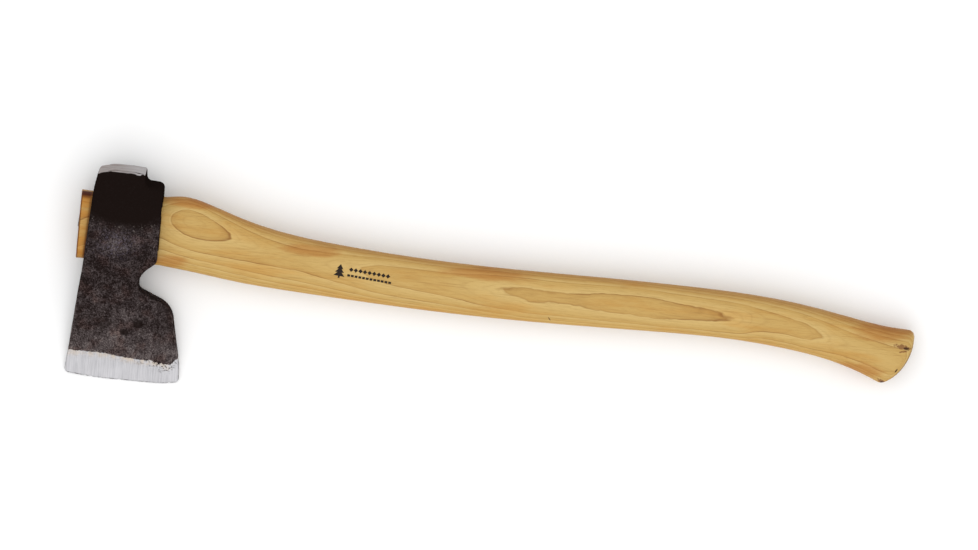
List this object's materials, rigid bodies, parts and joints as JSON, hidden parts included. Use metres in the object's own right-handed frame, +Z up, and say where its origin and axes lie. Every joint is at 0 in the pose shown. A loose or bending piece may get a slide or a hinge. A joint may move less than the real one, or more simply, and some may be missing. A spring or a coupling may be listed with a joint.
{
  "type": "splitting maul",
  "caption": "Splitting maul lying on its cheek: a thick bearded forged head with a poll, wedged on a curved wooden handle with a knob.",
  "frame": {"origin": "bottom centre of the whole maul as it lies on one cheek, the shoulder of its bevel and its knob", "axes": "+X along the eye axis from the head towards the knob, +Y from the bit towards the poll, +Z up from the floor; the bit is at the floor and the poll is tilted up by 11 degrees"},
  "size_m": [0.7599, 0.1936, 0.0571],
  "materials": {
    "forged_steel": "dark forge scale, ground bevel and striking face",
    "hickory": "smooth, oiled",
    "wedge_wood": "sawn end grain",
    "wedge_steel": "hammered flat"
  },
  "bodies": {
    "root": {"maul_head": "forged_steel", "handle": "hickory", "wooden_wedge": "wedge_wood", "steel_wedge": "wedge_steel"}
  },
  "joints": []
}
